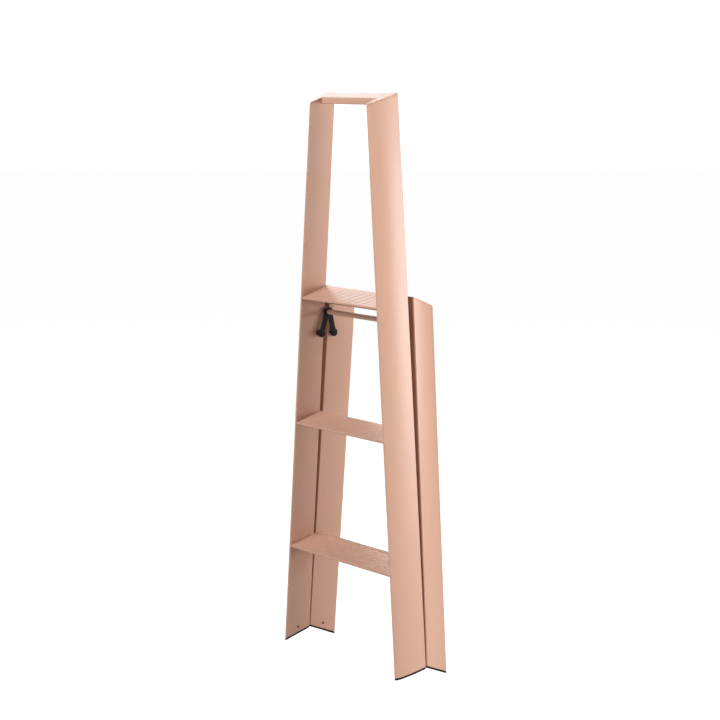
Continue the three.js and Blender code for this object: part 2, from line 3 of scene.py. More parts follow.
import bmesh
import bpy
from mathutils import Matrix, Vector


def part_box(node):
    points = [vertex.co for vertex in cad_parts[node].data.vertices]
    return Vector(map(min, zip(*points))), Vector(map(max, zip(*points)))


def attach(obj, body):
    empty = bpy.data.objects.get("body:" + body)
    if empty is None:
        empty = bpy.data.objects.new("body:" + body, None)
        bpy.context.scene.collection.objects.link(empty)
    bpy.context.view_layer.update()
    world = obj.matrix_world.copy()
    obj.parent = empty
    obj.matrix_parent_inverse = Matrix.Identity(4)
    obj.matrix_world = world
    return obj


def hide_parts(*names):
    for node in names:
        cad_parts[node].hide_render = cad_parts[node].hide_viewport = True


# Folding step ladder of painted aluminium, three treads, standing folded on its own feet.
# Metres, +Z up, +X to the climber's right, +Y to the rear.

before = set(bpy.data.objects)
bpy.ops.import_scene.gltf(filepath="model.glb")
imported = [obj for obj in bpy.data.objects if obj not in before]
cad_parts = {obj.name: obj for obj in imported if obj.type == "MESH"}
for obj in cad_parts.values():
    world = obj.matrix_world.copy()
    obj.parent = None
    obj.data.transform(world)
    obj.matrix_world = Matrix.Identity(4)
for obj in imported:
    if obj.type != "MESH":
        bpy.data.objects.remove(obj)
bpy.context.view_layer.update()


# ---- Front stiles ----
# The two long rails of the front frame: hollow aluminium extrusions, flat inside and rounded
# outside, thin in front and thick behind. Both ends are sawn to the slope of the treads, and the
# stiles stand closer together at the top than at the floor. Powder coated after sawing.

def corner(node, *direction):
    """The point of a node that lies furthest in a direction."""
    aim = Vector(direction)
    return max((v.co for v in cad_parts[node].data.vertices), key=aim.dot).copy()


fit_gap = 0.0003
outer_bulge = 0.555  # of the way from a flat outer face to a quarter ellipse
thick_corner, thin_nose, least_corner, least_nose = 0.0015, 0.003, 0.0004, 0.0005
sharp_edge = math.radians(32)
low_tread, high_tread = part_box("bottom_tread"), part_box("top_tread")
narrowing = (low_tread[1].x - high_tread[1].x) / (high_tread[0].z - low_tread[0].z)


def inner_face(z):
    """How far the flat faces of the stiles and legs stand from the middle, at a height."""
    return low_tread[1].x + fit_gap + (low_tread[0].z - z) * narrowing


class Blade:
    """An extrusion between its foot and its cap, drawn from the thick edge to the thin one."""

    def __init__(self, foot, cap, thick_behind):
        front, rear = corner(foot, 0, -1, -0.05), corner(foot, 0, 1, -0.05)
        top = corner(cap, 0, -1, 0.05)
        self.start = Vector((front.y, front.z))
        self.depth = rear.y - front.y
        self.back = Vector((1, (rear.z - front.z) / self.depth))
        self.up = Vector(((top.y - front.y) / (top.z - front.z), 1))
        self.height = top.z - front.z
        widest = corner(foot, 1, 0, 0)
        self.thickness = widest.x - inner_face(widest.z)
        self.thick_behind = thick_behind

    def point(self, out, across, height):
        back = self.depth - across if self.thick_behind else across
        side = self.start + self.back * back + self.up * height
        return Vector((inner_face(side.y) + out, side.x, side.y))

    def section(self, inset):
        """Outline set in from the outside of the extrusion, as pairs of out and across."""
        round_corner = max(thick_corner - inset, least_corner)
        nose = max(thin_nose - inset, least_nose)
        low, high, tip = inset, self.thickness - inset, self.depth - inset
        outline = []
        for step in range(6):
            a = math.radians(180 + 18 * step)
            outline.append((low + round_corner * (1 + math.cos(a)),
                            low + round_corner * (1 + math.sin(a))))
        for step in range(6):
            a = math.radians(270 + 18 * step)
            outline.append((high - round_corner * (1 - math.cos(a)),
                            low + round_corner * (1 + math.sin(a))))
        for step in range(1, 41):
            a = math.radians(90 * step / 40)
            flat = high + (low + nose - high) * math.sin(a)
            full = low + nose + (high - low - nose) * math.cos(a)
            outline.append((flat + outer_bulge * (full - flat),
                            low + round_corner + (tip - low - round_corner) * math.sin(a)))
        for step in range(1, 7):
            t = step / 6
            outline.append((low + nose * (1 - t) ** 2, tip - nose * t ** 2))
        return outline

    def ring(self, inset, height):
        return [self.point(out, across, height) for out, across in self.section(inset)]


def shaded(bm, sharp=sharp_edge):
    """Turns a skin's faces outwards and smooths it, but for its sharp edges."""
    bmesh.ops.recalc_face_normals(bm, faces=bm.faces)
    for face in bm.faces:
        face.smooth = True
    for edge in bm.edges:
        edge.smooth = len(edge.link_faces) == 2 and edge.calc_face_angle() < sharp


def piece_from(bm, name):
    mesh = bpy.data.meshes.new(name)
    bm.to_mesh(mesh)
    bm.free()
    piece = bpy.data.objects.new(name, mesh)
    bpy.context.scene.collection.objects.link(piece)
    return piece


def walled(bm, lower, upper):
    """Faces between two rings of vertices."""
    for i in range(len(lower)):
        k = (i + 1) % len(lower)
        bm.faces.new((lower[i], lower[k], upper[k], upper[i]))


def loft(name, rings, hollow=False):
    """A skin over rings of points. A hollow one joins its last ring to its first."""
    bm = bmesh.new()
    loops = [[bm.verts.new(point) for point in ring] for ring in rings]
    pairs = list(zip(loops, loops[1:]))
    if hollow:
        pairs.append((loops[-1], loops[0]))
    for lower, upper in pairs:
        walled(bm, lower, upper)
    if not hollow:
        bm.faces.new(loops[0])
        bm.faces.new(loops[-1])
    shaded(bm)
    return piece_from(bm, name)


def mirrored(rings):
    return [[Vector((-p.x, p.y, p.z)) for p in ring] for ring in rings]


def place(piece, node, body, material):
    """Fixes a finished piece to its body in place of its node."""
    flat_faces = piece.modifiers.new("flat faces stay flat", "WEIGHTED_NORMAL")
    flat_faces.keep_sharp = True
    piece.data.materials.append(material)
    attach(piece, body)
    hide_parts(node)


def place_pair(rings, piece_name, node_name, body, hollow=False):
    """The right-hand painted piece over its rings, and its mirror image on the left."""
    for hand, skin in (("right", rings), ("left", mirrored(rings))):
        place(loft(f"{hand}_{piece_name}", skin, hollow), f"{hand}_{node_name}",
              body, paint)


def group(name, inputs, output, kind="NodeSocketFloat"):
    """An empty shader group with its inputs, their usual values and one output."""
    tree = bpy.data.node_groups.new(name, "ShaderNodeTree")
    for label, value in inputs.items():
        socket = tree.interface.new_socket(label, in_out="INPUT", socket_type="NodeSocketFloat")
        socket.default_value = value
    tree.interface.new_socket(output, in_out="OUTPUT", socket_type=kind)
    return tree, tree.nodes.new("NodeGroupInput"), tree.nodes.new("NodeGroupOutput")


def node(tree, kind, settings=None, **values):
    """A shader node with its settings and the values of its sockets, by name."""
    made = tree.nodes.new(kind)
    for key, value in (settings or {}).items():
        setattr(made, key, value)
    for key, value in values.items():
        made.inputs[key.replace("_", " ")].default_value = value
    return made


# Patches a little lighter or darker than the rest, from the thickness of a coat or from handling
tone_tree, tone_in, tone_out = group("uneven tone", {"Scale": 8.0, "Amount": 0.1, "Middle": 1.0}, "Tone")
coordinates = node(tone_tree, "ShaderNodeTexCoord")
clouds = node(tone_tree, "ShaderNodeTexNoise", Detail=5.0, Roughness=0.62, Distortion=0.4)
swing = node(tone_tree, "ShaderNodeMath", {"operation": "SUBTRACT"})
swing.inputs[1].default_value = 0.5
sized = node(tone_tree, "ShaderNodeMath", {"operation": "MULTIPLY_ADD"})
tone_tree.links.new(coordinates.outputs["Object"], clouds.inputs["Vector"])
tone_tree.links.new(tone_in.outputs["Scale"], clouds.inputs["Scale"])
tone_tree.links.new(clouds.outputs["Fac"], swing.inputs[0])
tone_tree.links.new(swing.outputs[0], sized.inputs[0])
tone_tree.links.new(tone_in.outputs["Amount"], sized.inputs[1])
tone_tree.links.new(tone_in.outputs["Middle"], sized.inputs[2])
tone_tree.links.new(sized.outputs[0], tone_out.inputs["Tone"])

# Rubbed edges: where the surface turns within a short radius, broken up by small patches
wear_tree, wear_in, wear_out = group(
    "edge wear", {"Radius": 0.0008, "Patch scale": 90.0, "Strength": 1.0}, "Wear")
turned_edge = node(wear_tree, "ShaderNodeBevel", {"samples": 6})
surface = node(wear_tree, "ShaderNodeNewGeometry")
agree = node(wear_tree, "ShaderNodeVectorMath", {"operation": "DOT_PRODUCT"})
wear_range = node(wear_tree, "ShaderNodeMapRange", From_Min=0.995, From_Max=0.86, To_Min=0.0, To_Max=1.0)
where = node(wear_tree, "ShaderNodeTexCoord")
patches = node(wear_tree, "ShaderNodeTexNoise", Detail=4.0, Roughness=0.7)
patch_range = node(wear_tree, "ShaderNodeMapRange", From_Min=0.35, From_Max=0.62, To_Min=0.25, To_Max=1.0)
broken = node(wear_tree, "ShaderNodeMath", {"operation": "MULTIPLY"})
strong = node(wear_tree, "ShaderNodeMath", {"operation": "MULTIPLY", "use_clamp": True})
wear_tree.links.new(wear_in.outputs["Radius"], turned_edge.inputs["Radius"])
wear_tree.links.new(turned_edge.outputs["Normal"], agree.inputs[0])
wear_tree.links.new(surface.outputs["Normal"], agree.inputs[1])
wear_tree.links.new(agree.outputs["Value"], wear_range.inputs["Value"])
wear_tree.links.new(where.outputs["Object"], patches.inputs["Vector"])
wear_tree.links.new(wear_in.outputs["Patch scale"], patches.inputs["Scale"])
wear_tree.links.new(patches.outputs["Fac"], patch_range.inputs["Value"])
wear_tree.links.new(wear_range.outputs[0], broken.inputs[0])
wear_tree.links.new(patch_range.outputs[0], broken.inputs[1])
wear_tree.links.new(broken.outputs[0], strong.inputs[0])
wear_tree.links.new(wear_in.outputs["Strength"], strong.inputs[1])
wear_tree.links.new(strong.outputs[0], wear_out.inputs["Wear"])

# Fine texture of a coat or a mould: soft small hills with some finer grain on them
grain_tree, grain_in, grain_out = group("fine grain", {"Scale": 900.0, "Grain": 0.35}, "Height")
grain_place = node(grain_tree, "ShaderNodeTexCoord")
hills = node(grain_tree, "ShaderNodeTexNoise", Detail=2.0, Roughness=0.5)
finer = node(grain_tree, "ShaderNodeMath", {"operation": "MULTIPLY"})
finer.inputs[1].default_value = 3.7
dust = node(grain_tree, "ShaderNodeTexVoronoi", {"feature": "SMOOTH_F1"}, Smoothness=0.8)
both_heights = node(grain_tree, "ShaderNodeMix", {"data_type": "FLOAT"})
grain_tree.links.new(grain_place.outputs["Object"], hills.inputs["Vector"])
grain_tree.links.new(grain_place.outputs["Object"], dust.inputs["Vector"])
grain_tree.links.new(grain_in.outputs["Scale"], hills.inputs["Scale"])
grain_tree.links.new(grain_in.outputs["Scale"], finer.inputs[0])
grain_tree.links.new(finer.outputs[0], dust.inputs["Scale"])
grain_tree.links.new(grain_in.outputs["Grain"], both_heights.inputs["Factor"])
grain_tree.links.new(hills.outputs["Fac"], both_heights.inputs["A"])
grain_tree.links.new(dust.outputs["Distance"], both_heights.inputs["B"])
grain_tree.links.new(both_heights.outputs["Result"], grain_out.inputs["Height"])


def placed(tree, effect, **values):
    """A shared effect in a material's tree, with its own values."""
    made = tree.nodes.new("ShaderNodeGroup")
    made.node_tree = effect
    for key, value in values.items():
        made.inputs[key.replace("_", " ")].default_value = value
    return made


def finish_of(name, colour, worn_colour, tone, wear, roughness, grain, **plain):
    """A surface with uneven tone, rubbed edges, varied roughness and fine grain."""
    material = bpy.data.materials.new(name)
    material.use_nodes = True
    tree = material.node_tree
    shader = tree.nodes["Principled BSDF"]
    for key, value in plain.items():
        shader.inputs[key.replace("_", " ")].default_value = value
    patchy = placed(tree, tone_tree, **tone)
    shade = node(tree, "ShaderNodeMix", {"data_type": "RGBA", "blend_type": "MULTIPLY"})
    shade.inputs["Factor"].default_value = 1.0
    shade.inputs[6].default_value = (*colour, 1)
    rubbed = placed(tree, wear_tree, **wear)
    bare = node(tree, "ShaderNodeMix", {"data_type": "RGBA"})
    bare.inputs[7].default_value = (*worn_colour, 1)
    tree.links.new(patchy.outputs["Tone"], shade.inputs[7])
    tree.links.new(shade.outputs[2], bare.inputs[6])
    tree.links.new(rubbed.outputs["Wear"], bare.inputs["Factor"])
    tree.links.new(bare.outputs[2], shader.inputs["Base Color"])
    gloss = placed(tree, tone_tree, **roughness)
    tree.links.new(gloss.outputs["Tone"], shader.inputs["Roughness"])
    fine = placed(tree, grain_tree, Scale=grain["Scale"], Grain=grain["Grain"])
    relief = node(tree, "ShaderNodeBump", Strength=grain["Strength"],
                  Distance=grain["Distance"])
    tree.links.new(fine.outputs["Height"], relief.inputs["Height"])
    tree.links.new(relief.outputs["Normal"], shader.inputs["Normal"])
    return material


# Satin powder coat in salmon beige, thinner and paler on the edges
paint = finish_of(
    "salmon powder coat", (0.673, 0.397, 0.288), (0.76, 0.52, 0.42),
    tone={"Scale": 6.0, "Amount": 0.07, "Middle": 1.0},
    wear={"Radius": 0.0009, "Patch_scale": 60.0, "Strength": 0.55},
    roughness={"Scale": 14.0, "Amount": 0.1, "Middle": 0.32},
    grain={"Scale": 1100.0, "Grain": 0.3, "Strength": 0.22, "Distance": 0.00006},
    Metallic=0.0, IOR=1.5)

cap_plate, foot_pad, blade_wall, sawn_edge = 0.004, 0.0045, 0.002, 0.0004
stile = Blade("right_front_foot", "right_stile_cap", thick_behind=True)


def hollow_blade(blade):
    low, high = foot_pad + fit_gap, blade.height - cap_plate - fit_gap
    return [
        blade.ring(sawn_edge, low), blade.ring(0, low + sawn_edge),
        blade.ring(0, high - sawn_edge), blade.ring(sawn_edge, high),
        blade.ring(blade_wall, high), blade.ring(blade_wall, low),
    ]


place_pair(hollow_blade(stile), "stile_extrusion", "front_stile", "front_frame", hollow=True)


# ---- Treads ----
# Three aluminium extrusions with ribs along their top against slipping, a full round lip in front
# and a square lip behind. Their ends are sawn to the lean of the stiles and butt against them.

slope = math.atan(stile.back.y)
along = Vector((math.cos(slope), math.sin(slope)))
square_up = Vector((-math.sin(slope), math.cos(slope)))


class Tread:
    """A tread's own directions in the side view: back along its slope, and square up from it."""

    def __init__(self, level):
        self.level = level
        low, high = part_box(f"{level}_tread")
        self.lip = 0.00325
        lip_centre = Vector((low.y + self.lip, low.z + self.lip))
        self.start = lip_centre - along * self.lip + square_up * self.lip
        self.length = (high.z - self.start.y) / along.y

    def point(self, back, up):
        return self.start + along * back + square_up * up


rib_count, rib_height, rib_round, rib_flank, rib_share = 10, 0.0009, 0.0003, 0.0004, 0.7
plate, rear_lip, lip_wall = 0.0039, 0.0059, 0.003
treads = [Tread(level) for level in ("bottom", "middle", "top")]
for tread in treads:
    pitch = (tread.length - 2 * tread.lip) / rib_count
    high_half = pitch * rib_share / 2
    low_half = high_half + rib_flank
    profile = [(tread.length, -rib_round), (tread.length - rib_round * 0.3, -rib_round * 0.3),
               (tread.length - rib_round, 0)]
    for rib in range(rib_count - 1, -1, -1):
        middle = 2 * tread.lip + (rib + 0.5) * pitch
        if rib < rib_count - 1:
            profile += [(middle + low_half + rib_round, -rib_height), (middle + low_half, -rib_height * 0.92),
                        (middle + high_half + rib_round / 3, -rib_round * 0.6),
                        (middle + high_half - rib_round, 0)]
        profile += [(middle - high_half + rib_round, 0),
                    (middle - high_half - rib_round / 3, -rib_round * 0.6),
                    (middle - low_half, -rib_height * 0.92), (middle - low_half - rib_round, -rib_height)]
    profile += [(2 * tread.lip + 0.0006, -rib_height), (2 * tread.lip + 0.0002, -rib_height * 0.8),
                (2 * tread.lip - 0.0003, -rib_height * 0.15), (2 * tread.lip - 0.0008, 0)]
    for step in range(17):
        a = math.radians(90 + 180 * step / 16)
        profile.append((tread.lip + tread.lip * math.cos(a), -tread.lip + tread.lip * math.sin(a)))
    profile += [(lip_wall + tread.lip, -2 * tread.lip), (lip_wall + tread.lip, -plate - 0.0008),
                (lip_wall + tread.lip + 0.0008, -plate), (tread.length - lip_wall - 0.0008, -plate),
                (tread.length - lip_wall, -plate - 0.0006), (tread.length - lip_wall, -rear_lip),
                (tread.length - rib_round, -rear_lip), (tread.length, -rear_lip + rib_round)]
    ends = []
    for share in (-1, 1):
        ring = []
        for back, up in profile:
            side = tread.point(back, up)
            ring.append(Vector((share * (inner_face(side.y) - fit_gap), side.x, side.y)))
        ends.append(ring)
    place(loft(f"{tread.level}_tread_extrusion", ends), f"{tread.level}_tread",
          "front_frame", paint)


# ---- Tread brackets and rivets ----
# Short angles of zinc-plated steel in the corners under the tread ends. One flange lies against
# the stile and is held by a domed rivet, and the tread rests on the other.

def soften(piece, width, segments=3):
    """Rounds a piece's sharp edges."""
    rounding = piece.modifiers.new("rounded edges", "BEVEL")
    rounding.width = width
    rounding.segments = segments
    rounding.limit_method = "ANGLE"
    rounding.angle_limit = sharp_edge
    return piece


def turned(name, profile, base, axis, segments=48):
    """A piece turned about an axis: pairs of radius and distance along the axis."""
    axis = Vector(axis).normalized()
    side = axis.cross(Vector((0, 1, 0))).normalized()
    other = axis.cross(side)
    rings = []
    for radius, distance in profile:
        rings.append([base + axis * distance
                      + (side * math.cos(a) + other * math.sin(a)) * radius
                      for a in (math.tau * i / segments for i in range(segments))])
    return loft(name, rings)


zinc = finish_of(
    "zinc-plated steel", (0.55, 0.54, 0.51), (0.74, 0.73, 0.71),
    tone={"Scale": 70.0, "Amount": 0.3, "Middle": 1.0},
    wear={"Radius": 0.0004, "Patch_scale": 300.0, "Strength": 0.7},
    roughness={"Scale": 120.0, "Amount": 0.25, "Middle": 0.36},
    grain={"Scale": 1500.0, "Grain": 0.6, "Strength": 0.12, "Distance": 0.00004},
    Metallic=1.0)

into_ladder = Vector((-1, 0, -narrowing)).normalized()
rivet_shank, rivet_head, rivet_rise = 0.002, 0.0034, 0.0014


def domed(seat, shank, head, rise, run):
    """Profile of a shank that runs into the blade and a domed head on its seat."""
    profile = [(shank * 0.8, seat - run), (shank, seat - run + 0.0004), (shank, seat), (head * 0.94, seat),
               (head, seat + rise * 0.12)]
    for step in range(1, 7):
        a = math.radians(90 * step / 7)
        profile.append((head * math.cos(a), seat + rise * (0.12 + 0.88 * math.sin(a))))
    return profile + [(head * 0.04, seat + rise)]


def place_rivet(name, node_name, body, sign, spot, seat, run=0.006):
    """A domed rivet square to the inner face, at a spot of the side view, its head on a seat."""
    rivet = turned(name, domed(seat, rivet_shank, rivet_head, rivet_rise, run),
                   Vector((sign * inner_face(spot.y), spot.x, spot.y)),
                   (sign * into_ladder.x, 0, into_ladder.z))
    place(rivet, node_name, body, zinc)


bracket_start, bracket_length, bracket_fall = 0.012, 0.024, 0.010
bracket_reach, bracket_wall = 0.016, 0.0025
for tread in treads:
    top = -plate - fit_gap
    ends = []
    for back in (bracket_start, bracket_start + bracket_length):
        ring = []
        for inwards, down in ((fit_gap, 0), (fit_gap, bracket_fall), (fit_gap + bracket_wall, bracket_fall),
                              (fit_gap + bracket_wall, bracket_wall + 0.0015),
                              (fit_gap + bracket_wall + 0.0005, bracket_wall + 0.0005),
                              (fit_gap + bracket_wall + 0.0015, bracket_wall),
                              (bracket_reach, bracket_wall), (bracket_reach, 0)):
            side = tread.point(back, top - down)
            ring.append(Vector((inner_face(side.y) - inwards, side.x, side.y)))
        ends.append(ring)
    spot = tread.point(bracket_start + bracket_length / 2, top - bracket_fall / 2 - bracket_wall / 2)
    seat = 2 * fit_gap + bracket_wall
    for hand, sign in (("right", 1), ("left", -1)):
        angle = loft(f"{hand}_{tread.level}_bracket_angle", ends if sign > 0 else mirrored(ends))
        place(soften(angle, 0.0004), f"{hand}_{tread.level}_tread_bracket", "front_frame", zinc)
        place_rivet(f"{hand}_{tread.level}_bracket_rivet", f"{hand}_{tread.level}_tread_rivet",
                    "front_frame", sign, spot, seat)


# ---- Top handle ----
# A rounded aluminium bar between the tops of the stiles, flush with their sloping ends, that the
# climber holds. Steel plugs inside its ends carry it on the stiles.

handle_low, handle_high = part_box("top_handle")
handle_fall, handle_round, handle_wall = 0.017, 0.005, 0.002
stile_top = stile.start + stile.up * stile.height


def rounded_box(front, rear, bottom, top, radius, steps):
    """Outline of a box section with rounded corners, from the middle of its rear face upwards."""
    outline = []
    for y, z, first in ((rear - radius, top - radius, 0), (front + radius, top - radius, 90),
                        (front + radius, bottom + radius, 180), (rear - radius, bottom + radius, 270)):
        for step in range(steps + 1):
            a = math.radians(first + 90 * step / steps)
            outline.append((y + radius * math.cos(a), z + radius * math.sin(a)))
    return outline


def handle_ring(inset, share):
    ring = []
    for y, fall in rounded_box(handle_low.y + inset, handle_high.y - inset, inset - handle_fall, -inset,
                               handle_round - inset, 8):
        z = stile_top.y + (y - stile_top.x) * stile.back.y + fall
        ring.append(Vector((share * (inner_face(z) - fit_gap), y, z)))
    return ring


place(loft("handle_bar", [handle_ring(0, -1), handle_ring(0, 1),
                          handle_ring(handle_wall, 1), handle_ring(handle_wall, -1)], hollow=True),
      "top_handle", "front_frame", paint)


def zinc_plated(node_name):
    """Gives the finish to a hidden piece that is shown as its own node."""
    for hand in ("right", "left"):
        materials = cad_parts[f"{hand}_{node_name}"].data.materials
        materials.clear()
        materials.append(zinc)


zinc_plated("handle_plug")


# ---- Stile caps ----
# Cast lids, coated with the stiles, that close their sloping tops. A spigot under each one is
# pressed into the hollow of the extrusion.

cap_spigot, cap_edge = 0.014, 0.0008


def cap_rings(blade):
    seat, hollow = blade.height - cap_plate, blade_wall + fit_gap
    rings = [blade.ring(hollow + 2 * fit_gap, seat - cap_spigot), blade.ring(hollow, seat - cap_spigot + 0.001),
             blade.ring(hollow, seat), blade.ring(sawn_edge, seat), blade.ring(0, seat + sawn_edge)]
    for step in range(5):
        a = math.radians(90 * step / 4)
        rings.append(blade.ring(cap_edge * (1 - math.cos(a)), blade.height - cap_edge * (1 - math.sin(a))))
    return rings


place_pair(cap_rings(stile), "stile_lid", "stile_cap", "front_frame")


# ---- Front feet and their screws ----
# Black rubber soles under the sawn ends of the stiles. A spigot of the same rubber fills the end
# of the extrusion, and a small dark screw through the inner face holds it.

rubber = finish_of(
    "black rubber", (0.006, 0.006, 0.006), (0.02, 0.019, 0.018),
    tone={"Scale": 60.0, "Amount": 0.6, "Middle": 1.0},
    wear={"Radius": 0.0006, "Patch_scale": 200.0, "Strength": 0.8},
    roughness={"Scale": 90.0, "Amount": 0.2, "Middle": 0.78},
    grain={"Scale": 1400.0, "Grain": 0.7, "Strength": 0.4, "Distance": 0.0001},
    Metallic=0.0, Specular_IOR_Level=0.2)
dark_steel = finish_of(
    "bronzed steel", (0.13, 0.085, 0.066), (0.32, 0.25, 0.21),
    tone={"Scale": 80.0, "Amount": 0.5, "Middle": 1.0},
    wear={"Radius": 0.0004, "Patch_scale": 260.0, "Strength": 0.6},
    roughness={"Scale": 110.0, "Amount": 0.2, "Middle": 0.42},
    grain={"Scale": 1500.0, "Grain": 0.6, "Strength": 0.15, "Distance": 0.00004},
    Metallic=0.85)

foot_spigot, screw_rise, sole_edge = 0.042, 0.015, 0.0004


def foot_rings(blade):
    rings = []
    for step in range(5):
        a = math.radians(90 * step / 4)
        rings.append(blade.ring(sole_edge * (1 - math.sin(a)), sole_edge * (1 - math.cos(a))))
    return rings + [blade.ring(0, foot_pad - sole_edge / 2), blade.ring(sole_edge / 2, foot_pad),
                    blade.ring(blade_wall + fit_gap, foot_pad), blade.ring(blade_wall + fit_gap, foot_spigot),
                    blade.ring(blade_wall + 3 * fit_gap, foot_spigot + 0.001)]


def countersunk(seat):
    """Profile of a foot screw: a low domed head with a driver recess."""
    return [(0.0016, seat - 0.006), (0.002, seat - 0.005), (0.002, seat), (0.0028, seat),
            (0.003, seat + 0.0003), (0.0028, seat + 0.0009), (0.0024, seat + 0.0013),
            (0.0017, seat + 0.0015), (0.0014, seat + 0.0014), (0.0012, seat + 0.0004),
            (0.0001, seat + 0.0003)]


def foot_and_screw(blade, name, body):
    rings = foot_rings(blade)
    spot = blade.point(0, blade.depth / 2, foot_pad + screw_rise)
    for hand, sign in (("right", 1), ("left", -1)):
        sole = loft(f"{hand}_{name}_sole", rings if sign > 0 else mirrored(rings))
        place(sole, f"{hand}_{name}_foot", body, rubber)
        screw = turned(f"{hand}_{name}_sole_screw", countersunk(fit_gap),
                       Vector((sign * spot.x, spot.y, spot.z)), (sign * into_ladder.x, 0, into_ladder.z), 36)
        place(screw, f"{hand}_{name}_foot_screw", body, dark_steel)


foot_and_screw(stile, "front", "front_frame")


# ---- Rear legs, their caps and feet ----
# The rear frame's two extrusions: thick in front, where they lie along the stiles when folded,
# and thin behind. Lids close their tops, and rubber soles their feet, as on the stiles.

leg = Blade("right_rear_foot", "right_leg_cap", thick_behind=False)
place_pair(hollow_blade(leg), "leg_extrusion", "rear_leg", "rear_frame", hollow=True)
place_pair(cap_rings(leg), "leg_lid", "leg_cap", "rear_frame")
foot_and_screw(leg, "rear", "rear_frame")


# ---- Rear braces ----
# Two rectangular aluminium tubes across the legs. The lower one lies behind the bottom tread and
# sits on studs inside its ends. The upper one is welded between the hinge plates.

def brace(name, piece_name, low_end, high_end):
    """A tube over its node's box, with its end at the foot and at the top of its section."""
    low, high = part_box(name)
    wall, rounding = 0.002, 0.003

    def ring(inset, share):
        points = []
        for y, z in rounded_box(low.y + inset, high.y - inset, low.z + inset, high.z - inset,
                                rounding - inset, 6):
            end = low_end + (high_end - low_end) * (z - low.z) / (high.z - low.z)
            points.append(Vector((share * end, y, z)))
        return points

    place(loft(piece_name, [ring(0, -1), ring(0, 1), ring(wall, 1), ring(wall, -1)], hollow=True),
          name, "rear_frame", paint)


lower_low, lower_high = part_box("lower_rear_brace")
brace("lower_rear_brace", "lower_brace_tube",
      inner_face(lower_low.z) - fit_gap, inner_face(lower_high.z) - fit_gap)
upper_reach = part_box("upper_rear_brace")[1].x
brace("upper_rear_brace", "upper_brace_tube", upper_reach, upper_reach)
zinc_plated("brace_stud")


# ---- Fold hinge ----
# Under the rear of the top tread, a stamped bracket on each stile carries a boss, and a plate on
# the leg reaches forward to it. A headed steel pin through both is the axis that the legs swing on.

def side_plate(outline, outer, inner):
    """Rings of a stamped plate drawn in the side view, between two functions of height."""
    return [[Vector((edge(z), y, z)) for y, z in outline] for edge in (outer, inner)]


def arc(centre, radius, first, last, steps=20):
    angles = [math.radians(first + (last - first) * i / steps) for i in range(steps + 1)]
    return [(centre.x + radius * math.cos(a), centre.y + radius * math.sin(a)) for a in angles]


pin_low, pin_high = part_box("right_hinge_pin")
bracket_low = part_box("right_hinge_bracket")[0]
leg_plate_low, leg_plate_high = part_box("right_leg_hinge_plate")
hinge = Vector(((pin_low.y + pin_high.y) / 2, (pin_low.z + pin_high.z) / 2))
eye, bracket_plate, leg_plate_thickness = 0.007, 0.003, 0.0035
bracket_foot, tread_clearance, swing_gap, plate_edge = 0.010, 0.001, 0.0005, 0.0004
boss_face = bracket_low.x


def under_tread(y):
    """Height of the hinge bracket's top edge below the slope of the top tread."""
    top = treads[-1]
    underside = top.start.y + (y - top.start.x) * math.tan(slope) - plate / math.cos(slope)
    return underside - tread_clearance


bracket_outline = arc(hinge, eye, -60, 90) + [
    (bracket_low.y, under_tread(bracket_low.y)),
    (bracket_low.y, bracket_low.z), (bracket_low.y + bracket_foot, bracket_low.z)]
bracket_rings = side_plate(bracket_outline, lambda z: inner_face(z) - fit_gap,
                           lambda z: inner_face(z) - fit_gap - bracket_plate)
pad_inset, pad_fall, pad_slant = 0.003, 0.020, 0.006
pad_front = leg.point(0, pad_inset, hinge.y - pad_fall - 0.005 - leg.start.y).y
pad_rear, pad_low, pad_high = leg_plate_high.y, leg_plate_low.z, hinge.y - pad_fall
leg_plate_outline = arc(hinge, eye, 64, 238) + [
    (pad_front, pad_low), (pad_rear, pad_low), (pad_rear, pad_high)]
leg_plate_outer = boss_face - swing_gap
leg_plate_inner = leg_plate_outer - leg_plate_thickness
leg_plate_rings = side_plate(leg_plate_outline, lambda z: leg_plate_outer, lambda z: leg_plate_inner)
pad_outline = [(pad_front, pad_low), (pad_rear, pad_low), (pad_rear, pad_high),
               (pad_front, pad_high + pad_slant)]
pad_rings = side_plate(pad_outline, lambda z: inner_face(z) - fit_gap,
                       lambda z: leg_plate_outer - leg_plate_thickness / 2)


def joined(first, *others):
    """One object from several closed skins."""
    bm = bmesh.new()
    bm.from_mesh(first.data)
    for other in others:
        bm.from_mesh(other.data)
        bpy.data.objects.remove(other)
    bm.to_mesh(first.data)
    bm.free()
    return first


